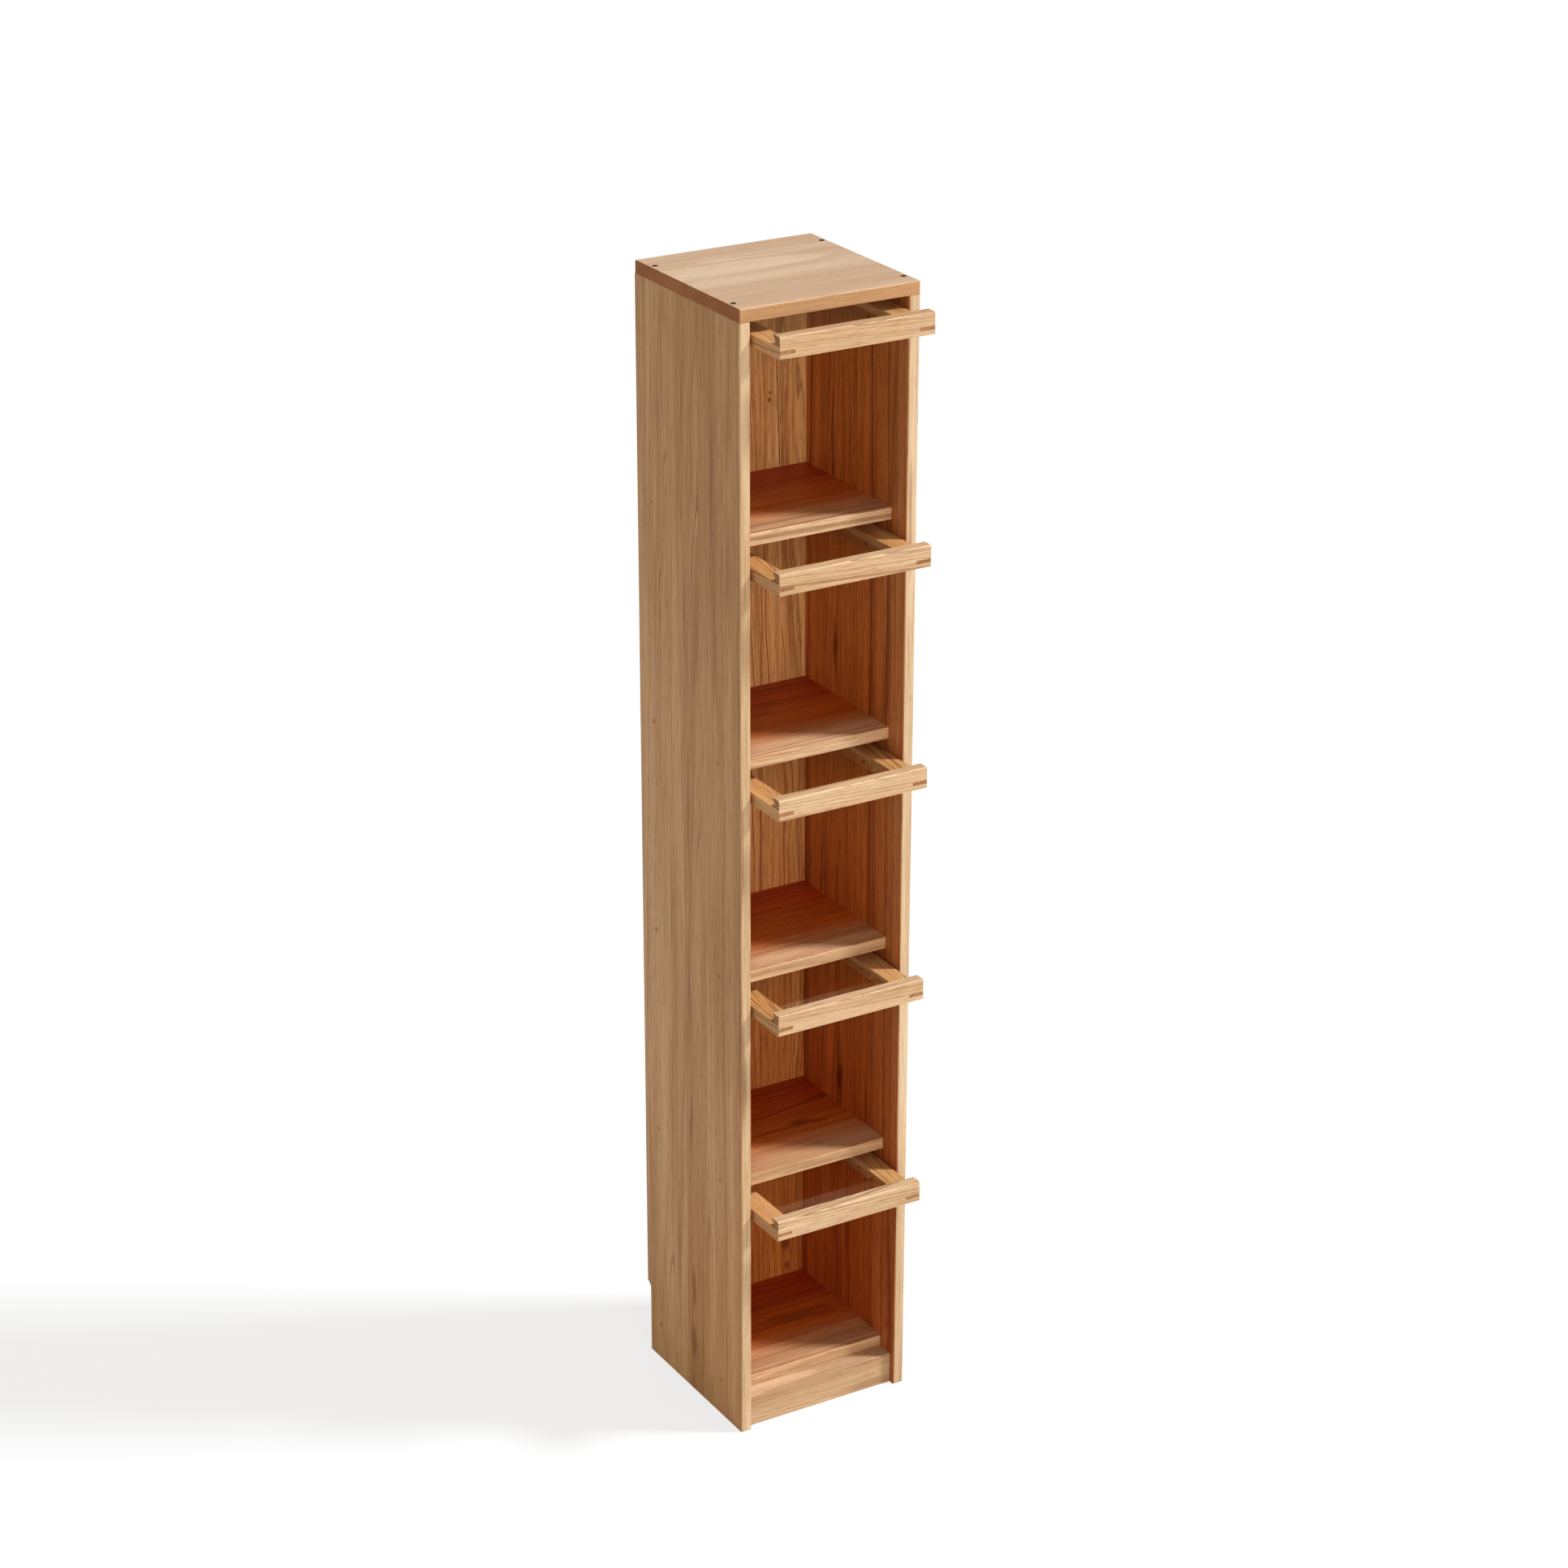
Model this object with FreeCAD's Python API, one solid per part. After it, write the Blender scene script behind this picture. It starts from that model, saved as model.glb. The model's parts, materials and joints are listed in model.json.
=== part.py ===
# Tall oak cabinet with five stacked compartments. Each compartment has a framed
# door that is lifted flat and pushed in under the shelf above it. Millimetres.
# The outline is drawn with the carcass front face at y = 0, the back at y = depth
# and the floor at z = 0. On export everything is moved so that the origin is on
# the floor, at the centre of the whole object with its doors pushed in.
import FreeCAD, Part
import os
from FreeCAD import Vector

# ---- carcass ----
width = 300.0
depth = 304.0
height = 1830.0
side_thick = 18.0
top_thick = 20.0
shelf_thick = 19.0
shelf_pitch = 349.5        # from one shelf to the next, equal for the upper four
shelf_setback = 40.0       # room for the closed doors in front of the shelves
edge_round = 2.5           # soft arrises of the outer boards
compartments = 5

# ---- plinth and rear notch for a skirting board ----
kick_height = 52.0
kick_setback = 11.0
kick_thick = 38.0
notch_depth = 10.0
notch_low = 118.0          # notch height at its front
notch_high = 126.0         # notch height at the rear edge

# ---- back ----
back_thick = 6.0
back_front = 286.0         # front face of the back boards
rebate_deep = 8.0          # how far the back boards go into each side
back_joints = [-52.0, 18.0, 89.0]
back_gap = 0.4

# ---- doors ----
door_width = 256.0
door_length = 347.0
door_thick = 18.0
member_width = 34.0        # stiles and rails
lip_height = 15.0
lip_reach = 18.6           # lip depth at its tip
lip_root = 12.0
head_gap = 4.5             # from the lip's top to the shelf above
overhang = 74.0            # how far a pushed-in door stands out
pane_rebate = 9.0
pane_thick = 3.0
pane_gap = 1.0
tongue_low = 7.1           # bridle joint, heights above the door's inner face
tongue_high = 12.5

# ---- door pins and their tracks ----
pin_radius = 4.0
pin_length = 26.0
pin_from_end = 26.0
pin_in_track = 7.0
pin_height = door_thick / 2
track_half = 4.3
track_deep = 8.0
closed_pin_y = 29.0

# ---- runner strips ----
runner_wide = 18.0
runner_tall = 22.0
runner_front = 52.0
runner_back = 272.0
runner_gap = 1.0           # below the door's inner face
runner_nose = 12.0
runner_arris = 3.0

# ---- screws: shank radius, head radius, head thickness ----
clearance = 0.05
shelf_screw = (2.0, 3.7, 3.0)
runner_screw = (1.75, 3.2, 2.5)
back_screw = (1.4, 2.8, 2.0)
shelf_screw_reach = 45.0
shelf_screw_y = [66.0, 261.0]
plug_radius = 4.0
plug_thick = 5.0
top_screw_y = [32.0, 259.0]
runner_screw_y = [82.0, 244.0]
runner_screw_sink = 6.0
runner_screw_reach = 21.0
top_screw_sink = 8.0
back_screw_reach = 18.0

# ---- worked out ----
half = width / 2
inner = half - side_thick
side_height = height - top_thick
side_mid = half - side_thick / 2
door_drop = head_gap + lip_height + door_thick
top_counterbore = height - top_screw_sink
ceilings = [side_height - shelf_pitch * i for i in range(compartments)]
shelf_tops = [z + shelf_thick for z in ceilings[1:]]
bottom_top = kick_height + shelf_thick
levels = shelf_tops + [bottom_top]
open_pin_y = door_length - overhang - pin_from_end
center_shift = Vector(0, (overhang - depth) / 2, 0)
AXIS_X, AXIS_Y, AXIS_Z = Vector(1, 0, 0), Vector(0, 1, 0), Vector(0, 0, 1)


def box(x0, x1, y0, y1, z0, z1):
    return Part.makeBox(x1 - x0, y1 - y0, z1 - z0, Vector(x0, y0, z0))


def rod(radius, start, direction, length):
    return Part.makeCylinder(radius, length, start, direction)


def prism(points, direction):
    """Closed outline of straight runs, pushed along a vector."""
    wire = Part.makePolygon(points + [points[0]])
    return Part.Face(wire).extrude(direction)


def flat_layer(points, z0, z1):
    return prism([Vector(x, y, z0) for x, y in points], Vector(0, 0, z1 - z0))


def rounded(solid, radius, wanted):
    """Round the straight edges whose two ends both satisfy wanted(point)."""
    edges = [e for e in solid.Edges if all(wanted(v.Point) for v in e.Vertexes)]
    return solid.makeFillet(radius, edges)


def mirrored(shape):
    return shape.mirror(Vector(0, 0, 0), AXIS_X)


def one(shape):
    clean = shape.removeSplitter()
    return clean.Solids[0] if len(clean.Solids) == 1 else clean


def screw(spec, head_top, direction, shank_end):
    """A head that starts at head_top and a shank that ends shank_end further on."""
    shank_radius, head_radius, head_thick = spec
    head = rod(head_radius, head_top, direction, head_thick)
    shank = rod(shank_radius, head_top, direction, head_thick + shank_end)
    return one(head.fuse(shank))


def save(name, shape):
    moved = shape.copy()
    moved.translate(center_shift)
    moved.exportStep("parts/" + name + ".step")
    print(name, len(moved.Solids), round(moved.Volume, 1))


# ------------------------------------------------------------------ carcass
def side_panel():
    """The right side: it stands on the floor and carries the top."""
    panel = box(inner, half, 0, depth, 0, side_height)
    panel = rounded(panel, edge_round, lambda p: p.y < 1e-6)
    panel = panel.cut(box(inner, inner + rebate_deep, back_front, depth, kick_height, side_height))
    notch = [Vector(inner, depth - notch_depth, 0), Vector(inner, depth, 0),
             Vector(inner, depth, notch_high), Vector(inner, depth - notch_depth, notch_low)]
    panel = panel.cut(prism(notch, Vector(side_thick, 0, 0)))
    for ceiling in ceilings:
        panel = panel.cut(pin_track(ceiling - door_drop + pin_height))
        for y in runner_screw_y:
            start = Vector(inner, y, runner_mid(ceiling))
            reach = runner_screw_reach - (runner_wide - runner_screw_sink) + 0.5
            panel = panel.cut(rod(runner_screw[0] + clearance, start, AXIS_X, reach))
    for level in levels:
        for y in shelf_screw_y:
            outside = Vector(half, y, level - shelf_thick / 2)
            sink = plug_thick + shelf_screw[2]
            panel = panel.cut(rod(plug_radius, outside, -AXIS_X, sink))
            panel = panel.cut(rod(shelf_screw[0] + clearance, outside, -AXIS_X, side_thick))
    for y in top_screw_y:
        start = Vector(side_mid, y, side_height)
        reach = shelf_screw_reach - (top_thick - top_screw_sink) + 0.5
        panel = panel.cut(rod(shelf_screw[0] + clearance, start, -AXIS_Z, reach))
    return one(panel)


def pin_track(z):
    """Groove for the door pin, cut from the inner face, with round ends."""
    slot = box(inner, inner + track_deep, closed_pin_y, open_pin_y, z - track_half, z + track_half)
    for y in (closed_pin_y, open_pin_y):
        slot = slot.fuse(rod(track_half, Vector(inner, y, z), AXIS_X, track_deep))
    return slot


def top_panel():
    top = box(-half, half, 0, depth, side_height, height)
    soft = [e for e in top.Edges if any(v.Point.z > height - 1e-6 for v in e.Vertexes)]
    top = top.makeFillet(edge_round, soft)
    for x in (-side_mid, side_mid):
        for y in top_screw_y:
            start = Vector(x, y, height)
            top = top.cut(rod(plug_radius, start, -AXIS_Z, top_screw_sink))
            top = top.cut(rod(shelf_screw[0] + clearance, start, -AXIS_Z, top_thick))
    return one(top)


def shelf(level):
    board = box(-inner, inner, shelf_setback, back_front, level - shelf_thick, level)
    board = rounded(board, edge_round / 2, lambda p: p.y < shelf_setback + 1e-6)
    middle = level - shelf_thick / 2
    reach = shelf_screw_reach - (side_thick - plug_thick - shelf_screw[2]) + 0.5
    for y in shelf_screw_y:
        for x, direction in ((-inner, AXIS_X), (inner, -AXIS_X)):
            board = board.cut(rod(shelf_screw[0] + clearance, Vector(x, y, middle), direction, reach))
    for x in back_screw_x():
        start = Vector(x, back_front, middle)
        reach = back_screw_reach - (back_thick - back_screw[2]) + 0.5
        board = board.cut(rod(back_screw[0] + clearance, start, -AXIS_Y, reach))
    return one(board)


def kick_board():
    board = box(-inner, inner, kick_setback, kick_setback + kick_thick, 0, kick_height)
    return rounded(board, edge_round / 2, lambda p: p.y < kick_setback + 1e-6 and p.z > kick_height - 1e-6)


# --------------------------------------------------------------------- back
def back_edges():
    """Left and right edge of every back board."""
    limits = [-inner - rebate_deep] + back_joints + [inner + rebate_deep]
    lefts = [limits[0]] + [x + back_gap / 2 for x in back_joints]
    rights = [x - back_gap / 2 for x in back_joints] + [limits[-1]]
    return list(zip(lefts, rights))


def back_screw_x():
    return [max(-inner + 12, min(inner - 12, (a + b) / 2)) for a, b in back_edges()]


def back_board(index):
    left, right = back_edges()[index]
    rear = back_front + back_thick
    board = box(left, right, back_front, rear, kick_height, side_height)
    for level in levels:
        start = Vector(back_screw_x()[index], rear, level - shelf_thick / 2)
        board = board.cut(rod(back_screw[1] + clearance, start, -AXIS_Y, back_screw[2]))
        board = board.cut(rod(back_screw[0] + clearance, start, -AXIS_Y, back_thick))
    return one(board)


# ------------------------------------------------------------------ runners
def runner_mid(ceiling):
    return ceiling - door_drop - runner_gap - runner_tall / 2


def runner(ceiling):
    """Right-hand strip that a pushed-in door lies on, with a rounded nose."""
    x0 = inner - runner_wide
    top = runner_mid(ceiling) + runner_tall / 2
    bottom = top - runner_tall
    strip = box(x0, inner, runner_front, runner_back, bottom, top)
    strip = rounded(strip, runner_nose, lambda p: p.y < runner_front + 1e-6 and p.z < bottom + 1e-6)
    strip = rounded(strip, runner_arris, lambda p: p.y < runner_front + 1e-6 and p.z > top - 1e-6)
    inner_edges = [e for e in strip.Edges if all(abs(v.Point.x - x0) < 1e-6 for v in e.Vertexes)]
    front_edges = [e for e in inner_edges if not all(v.Point.y > runner_back - 1e-6 for v in e.Vertexes)]
    strip = strip.makeFillet(runner_arris, front_edges)
    for y in runner_screw_y:
        start = Vector(x0, y, runner_mid(ceiling))
        strip = strip.cut(rod(runner_screw[1] + clearance, start, AXIS_X, runner_screw_sink))
        strip = strip.cut(rod(runner_screw[0] + clearance, start, AXIS_X, runner_wide))
    return one(strip)


# -------------------------------------------------------------------- doors
# A door is drawn flat: its bottom rail at y = 0, its top rail at y = door_length,
# its inner face down at z = 0 and its outer face up at z = door_thick.
def mitred_bar(inset):
    """Outline of the bottom rail with mitred ends, inset deep."""
    side = door_width / 2
    return [(-side, 0), (side, 0), (side - inset, inset), (-side + inset, inset)]


def rail():
    """Mitred cheeks above and below a slot that takes the stile tongues."""
    deep = member_width - pane_rebate
    reach = door_width / 2 - deep
    lower = flat_layer(mitred_bar(deep), 0, tongue_low)
    middle = box(-reach, reach, 0, deep, tongue_low, tongue_high)
    upper = flat_layer(mitred_bar(member_width), tongue_high, door_thick)
    return lower.fuse([middle, upper])


def finger_lip():
    """Full-width lip with a square front and a hollow behind its tip."""
    top = door_thick + lip_height
    r = edge_round
    bend = r * (1 - 0.5 ** 0.5)
    tip = 1.0
    tip_bend = tip * (1 - 0.5 ** 0.5)

    def at(y, z):
        return Vector(-door_width / 2, y, z)

    edges = [
        Part.makeLine(at(lip_root, door_thick), at(0, door_thick)),
        Part.makeLine(at(0, door_thick), at(0, top - r)),
        Part.Arc(at(0, top - r), at(bend, top - bend), at(r, top)).toShape(),
        Part.makeLine(at(r, top), at(lip_reach - tip, top)),
        Part.Arc(at(lip_reach - tip, top), at(lip_reach - tip_bend, top - tip_bend),
                 at(lip_reach, top - tip)).toShape(),
        Part.makeLine(at(lip_reach, top - tip), at(lip_reach, top - 2 * tip)),
        Part.Arc(at(lip_reach, top - 2 * tip), at(lip_root + 1.3, door_thick + lip_height / 2),
                 at(lip_root, door_thick)).toShape(),
    ]
    return Part.Face(Part.Wire(edges)).extrude(Vector(door_width, 0, 0))


def bottom_rail():
    return one(rail().fuse(finger_lip()))


def top_rail():
    turned = rail()
    turned.rotate(Vector(0, door_length / 2, 0), AXIS_Z, 180)
    return one(turned)


def stile():
    """Right stile: mitred cheeks and a tongue that runs through both rails."""
    side = door_width / 2
    deep = member_width - pane_rebate

    def outline(inset):
        return [(side, 0), (side, door_length), (side - inset, door_length - inset), (side - inset, inset)]

    lower = flat_layer(outline(deep), 0, tongue_low)
    tongue = box(side - deep, side, 0, door_length, tongue_low, tongue_high)
    upper = flat_layer(outline(member_width), tongue_high, door_thick)
    bored = rod(pin_radius + clearance, pin_start(), AXIS_X, pin_length)
    return one(lower.fuse([tongue, upper]).cut(bored))


def pin_start():
    stick_out = inner + pin_in_track
    return Vector(stick_out - pin_length, door_length - pin_from_end, pin_height)


def pins():
    pin = rod(pin_radius, pin_start(), AXIS_X, pin_length)
    return Part.makeCompound([pin, mirrored(pin)])


def pane():
    side = door_width / 2 - member_width + pane_rebate - pane_gap
    edge = member_width - pane_rebate + pane_gap
    return box(-side, side, edge, door_length - edge, tongue_high - pane_thick, tongue_high)


# ---------------------------------------------------------------- fasteners
def shelf_fixings():
    """Screws through the sides into the shelf ends, and the plugs over them."""
    screws, plugs = [], []
    for level in levels:
        for y in shelf_screw_y:
            outside = Vector(half, y, level - shelf_thick / 2)
            plug = rod(plug_radius, outside, -AXIS_X, plug_thick)
            head_top = outside - AXIS_X * plug_thick
            fixing = screw(shelf_screw, head_top, -AXIS_X, shelf_screw_reach)
            plugs += [plug, mirrored(plug)]
            screws += [fixing, mirrored(fixing)]
    return Part.makeCompound(screws), Part.makeCompound(plugs)


def top_screws():
    made = []
    for x in (-side_mid, side_mid):
        for y in top_screw_y:
            head_top = Vector(x, y, top_counterbore + shelf_screw[2])
            made.append(screw(shelf_screw, head_top, -AXIS_Z, shelf_screw_reach))
    return Part.makeCompound(made)


def runner_screws():
    made = []
    for ceiling in ceilings:
        for y in runner_screw_y:
            x = inner - runner_wide + runner_screw_sink - runner_screw[2]
            fixing = screw(runner_screw, Vector(x, y, runner_mid(ceiling)), AXIS_X, runner_screw_reach)
            made += [fixing, mirrored(fixing)]
    return Part.makeCompound(made)


def back_screws():
    rear = back_front + back_thick
    made = []
    for level in levels:
        for x in back_screw_x():
            start = Vector(x, rear, level - shelf_thick / 2)
            made.append(screw(back_screw, start, -AXIS_Y, back_screw_reach))
    return Part.makeCompound(made)


def save_carcass():
    right = side_panel()
    save("side_panel_right", right)
    save("side_panel_left", mirrored(right))
    save("top_panel", top_panel())
    for i, level in enumerate(shelf_tops):
        save("shelf_%d" % (i + 1), shelf(level))
    save("bottom_shelf", shelf(bottom_top))
    save("kick_board", kick_board())
    for i in range(len(back_joints) + 1):
        save("back_board_%d" % (i + 1), back_board(i))
    for i, ceiling in enumerate(ceilings):
        strip = runner(ceiling)
        save("runner_right_%d" % (i + 1), strip)
        save("runner_left_%d" % (i + 1), mirrored(strip))
    screws, plugs = shelf_fixings()
    save("shelf_screws", screws)
    save("shelf_plugs", plugs)
    save("top_screws", top_screws())
    save("runner_screws", runner_screws())
    save("back_screws", back_screws())


def save_doors():
    right = stile()
    pieces = {
        "bottom_rail": bottom_rail(),
        "top_rail": top_rail(),
        "right_stile": right,
        "left_stile": mirrored(right),
        "pane": pane(),
        "pins": pins(),
    }
    for i, ceiling in enumerate(ceilings):
        for piece_name, piece in pieces.items():
            placed = piece.copy()
            placed.translate(Vector(0, -overhang, ceiling - door_drop))
            save("door_%d_%s" % (i + 1, piece_name), placed)


os.makedirs("parts", exist_ok=True)
save_carcass()
save_doors()
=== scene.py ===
import bpy, json, math, random
from mathutils import Matrix, Vector

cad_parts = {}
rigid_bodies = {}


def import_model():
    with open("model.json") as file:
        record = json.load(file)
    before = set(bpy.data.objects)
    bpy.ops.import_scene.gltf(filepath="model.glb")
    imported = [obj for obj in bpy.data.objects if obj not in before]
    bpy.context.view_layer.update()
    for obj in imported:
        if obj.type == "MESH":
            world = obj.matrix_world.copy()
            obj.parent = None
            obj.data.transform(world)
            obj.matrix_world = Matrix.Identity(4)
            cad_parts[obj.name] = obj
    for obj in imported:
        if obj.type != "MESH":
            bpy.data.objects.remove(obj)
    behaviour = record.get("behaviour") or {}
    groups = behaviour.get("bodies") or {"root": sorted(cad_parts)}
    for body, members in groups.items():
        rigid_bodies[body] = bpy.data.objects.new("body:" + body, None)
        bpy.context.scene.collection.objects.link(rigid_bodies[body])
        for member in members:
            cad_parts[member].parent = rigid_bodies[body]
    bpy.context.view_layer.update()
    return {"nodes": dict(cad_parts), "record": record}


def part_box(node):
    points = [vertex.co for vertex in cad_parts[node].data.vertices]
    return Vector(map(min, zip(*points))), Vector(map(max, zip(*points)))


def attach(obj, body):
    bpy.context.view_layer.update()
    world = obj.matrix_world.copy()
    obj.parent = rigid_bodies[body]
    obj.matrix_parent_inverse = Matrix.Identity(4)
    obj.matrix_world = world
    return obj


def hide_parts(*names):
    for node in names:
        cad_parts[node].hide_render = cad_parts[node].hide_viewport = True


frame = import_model()
nodes = frame["nodes"]
bodyOf = {node: body for body, members in frame["record"]["behaviour"]["bodies"].items() for node in members}
doorCount = 5


def tint(red, green, blue):
    # screen values 0-255 to the shader's linear ones
    def linear(v):
        v /= 255
        return v / 12.92 if v <= 0.04045 else ((v + 0.055) / 1.055) ** 2.4
    return (linear(red), linear(green), linear(blue), 1.0)


# node helpers
def addNode(tree, kind, settings=None, inputs=None):
    made = tree.nodes.new(kind)
    for key, value in (settings or {}).items():
        setattr(made, key, value)
    for key, value in (inputs or {}).items():
        if isinstance(value, bpy.types.NodeSocket):
            tree.links.new(value, made.inputs[key])
        else:
            made.inputs[key].default_value = value
    return made


def calc(tree, operation, a, b=0.0, c=0.0, clamp=False):
    settings = {"operation": operation, "use_clamp": clamp}
    return addNode(tree, "ShaderNodeMath", settings, {0: a, 1: b, 2: c}).outputs[0]


def distance(tree, a, b):
    squares = calc(tree, "ADD", calc(tree, "MULTIPLY", a, a), calc(tree, "MULTIPLY", b, b))
    return calc(tree, "SQRT", squares)


def mixNumber(tree, amount, a, b):
    return addNode(tree, "ShaderNodeMix", {"data_type": "FLOAT"}, {0: amount, 2: a, 3: b}).outputs[0]


def move(tree, operation, a, b=(0, 0, 0)):
    return addNode(tree, "ShaderNodeVectorMath", {"operation": operation}, {0: a, 1: b}).outputs[0]


def ramp(tree, value, low, high, start=0.0, end=1.0):
    limits = {"Value": value, "From Min": low, "From Max": high, "To Min": start, "To Max": end}
    return addNode(tree, "ShaderNodeMapRange", {"interpolation_type": "SMOOTHSTEP"}, limits).outputs[0]


def noise(tree, place, stretch, shift, detail=2.0, roughness=0.5):
    at = move(tree, "MULTIPLY_ADD", place, stretch)
    tree.links.new(shift, at.node.inputs[2])
    return addNode(tree, "ShaderNodeTexNoise", {"noise_dimensions": "3D"},
                   {"Vector": at, "Scale": 1.0, "Detail": detail, "Roughness": roughness}).outputs["Fac"]


def blendColour(tree, amount, a, b, kind="MIX"):
    made = tree.nodes.new("ShaderNodeMix")
    made.data_type = "RGBA"
    made.blend_type = kind
    for index, value in ((0, amount), (6, a), (7, b)):
        if isinstance(value, bpy.types.NodeSocket):
            tree.links.new(value, made.inputs[index])
        else:
            made.inputs[index].default_value = value
    return made.outputs[2]


def newGroup(name, inputs, outputs):
    tree = bpy.data.node_groups.new(name, "ShaderNodeTree")
    kinds = {"f": "NodeSocketFloat", "v": "NodeSocketVector", "c": "NodeSocketColor"}
    for label, kind, value in inputs:
        socket = tree.interface.new_socket(name=label, in_out="INPUT", socket_type=kinds[kind])
        if value is not None:
            socket.default_value = value
    for label, kind in outputs:
        tree.interface.new_socket(name=label, in_out="OUTPUT", socket_type=kinds[kind])
    return tree, tree.nodes.new("NodeGroupInput").outputs, tree.nodes.new("NodeGroupOutput").inputs


# oak: growth rings round a pith, seen where the board's faces cut them (all in mm inside)
def makeBoardGroup():
    tree, given, out = newGroup("oakBoard", [
        ("Vector", "v", None), ("Seed", "f", 0.0), ("Tone", "f", 0.5), ("End Grain", "f", 0.0),
        ("Pith Side", "f", 40.0), ("Pith Depth", "f", 60.0), ("Tilt", "f", 0.02), ("Ring Width", "f", 3.0),
        ("Wobble", "f", 8.0), ("Line Strength", "f", 0.6), ("Streak", "f", 0.4),
        ("Pale", "c", (0.6, 0.45, 0.3, 1)), ("Deep", "c", (0.4, 0.25, 0.15, 1)),
        ("Line", "c", (0.2, 0.1, 0.05, 1)),
    ], [("Color", "c"), ("Roughness", "f"), ("Height", "f")])
    place = move(tree, "MULTIPLY", given["Vector"], (1000, 1000, 1000))
    split = addNode(tree, "ShaderNodeSeparateXYZ", inputs={0: place}).outputs
    shift = addNode(tree, "ShaderNodeCombineXYZ", inputs={
        0: calc(tree, "MULTIPLY", given["Seed"], 13.71),
        1: calc(tree, "MULTIPLY", given["Seed"], 5.93),
        2: calc(tree, "MULTIPLY", given["Seed"], 8.37)}).outputs[0]

    slow = calc(tree, "SUBTRACT", noise(tree, place, (0.0022, 0.013, 0.013), shift, 2), 0.5)
    middle = calc(tree, "SUBTRACT", noise(tree, place, (0.008, 0.05, 0.05), shift, 2), 0.5)
    fine = calc(tree, "SUBTRACT", noise(tree, place, (0.05, 0.5, 0.5), shift, 2), 0.5)
    bend = calc(tree, "MULTIPLY", slow, calc(tree, "MULTIPLY", given["Wobble"], 2.0))
    across = calc(tree, "ADD", calc(tree, "SUBTRACT", split[1], given["Pith Side"]), bend)
    depth = calc(tree, "ADD", calc(tree, "ADD", split[2], given["Pith Depth"]),
                 calc(tree, "MULTIPLY_ADD", split[0], given["Tilt"], calc(tree, "MULTIPLY", bend, 0.8)))
    radius = distance(tree, across, depth)
    radius = calc(tree, "MULTIPLY_ADD", middle, 3.2, calc(tree, "MULTIPLY_ADD", fine, 0.9, radius))
    uneven = addNode(tree, "ShaderNodeTexNoise", {"noise_dimensions": "1D"}, {
        "W": calc(tree, "MULTIPLY_ADD", radius, 0.11, given["Seed"]),
        "Scale": 1.0, "Detail": 1.0}).outputs["Fac"]
    rings = calc(tree, "ADD", calc(tree, "DIVIDE", radius, given["Ring Width"]),
                 calc(tree, "MULTIPLY", uneven, 4.5))
    part = calc(tree, "FRACT", rings)
    ringDice = addNode(tree, "ShaderNodeTexWhiteNoise", {"noise_dimensions": "1D"},
                       {"W": calc(tree, "ADD", calc(tree, "FLOOR", rings), given["Seed"])}).outputs["Value"]
    early = calc(tree, "MULTIPLY", ramp(tree, part, 0.0, 0.14), ramp(tree, part, 0.1, 0.62, 1.0, 0.0))
    early = calc(tree, "MULTIPLY", early,
                 calc(tree, "MULTIPLY_ADD", calc(tree, "POWER", ringDice, 1.2), 0.85, 0.15))

    poreField = noise(tree, place, (0.16, 1.5, 1.5), shift, 1.0)
    pores = calc(tree, "MULTIPLY", ramp(tree, poreField, 0.58, 0.70),
                 calc(tree, "MULTIPLY_ADD", early, 0.9, 0.3), clamp=True)
    fibre = noise(tree, place, (0.010, 0.8, 0.8), shift, 3.0, 0.62)
    fleckShift = move(tree, "ADD", shift, (7.1, 3.3, 2.9))
    fleckField = noise(tree, place, (0.028, 0.42, 0.42), fleckShift, 2.0, 0.6)
    flecks = ramp(tree, fleckField, 0.52, 0.70, 0.0, 0.38)
    broad = noise(tree, place, (0.0016, 0.022, 0.022), shift, 2.0)
    streakShift = move(tree, "ADD", shift, (4.3, 1.7, 9.1))
    streakField = noise(tree, place, (0.0020, 0.042, 0.042), streakShift, 2.0, 0.55)
    streak = calc(tree, "MULTIPLY", ramp(tree, streakField, 0.56, 0.72), given["Streak"])

    base = calc(tree, "ADD", ramp(tree, broad, 0.3, 0.7, -0.28, 0.28), given["Tone"])
    base = calc(tree, "ADD", base, ramp(tree, fibre, 0.3, 0.7, -0.30, 0.30), clamp=True)
    colour = blendColour(tree, base, given["Pale"], given["Deep"])
    lines = calc(tree, "MULTIPLY", early, given["Line Strength"], clamp=True)
    colour = blendColour(tree, lines, colour, given["Line"])
    flecks = calc(tree, "MULTIPLY", flecks, calc(tree, "MULTIPLY_ADD", given["Line Strength"], 0.7, 0.3))
    colour = blendColour(tree, flecks, colour, given["Line"])
    colour = blendColour(tree, calc(tree, "MULTIPLY", streak, 0.75, clamp=True), colour, given["Line"])
    colour = blendColour(tree, calc(tree, "MULTIPLY", pores, 0.45, clamp=True), colour, given["Line"])
    # end grain: open pores drink more oil, so it is darker, with dots instead of dashes
    dots = noise(tree, place, (1.3, 1.3, 1.3), shift, 1.0)
    endShade = blendColour(tree, ramp(tree, dots, 0.45, 0.68, 0.0, 0.55),
                           (0.66, 0.49, 0.35, 1), (0.36, 0.23, 0.14, 1))
    endColour = blendColour(tree, 1.0, colour, endShade, "MULTIPLY")
    colour = blendColour(tree, given["End Grain"], colour, endColour)

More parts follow.
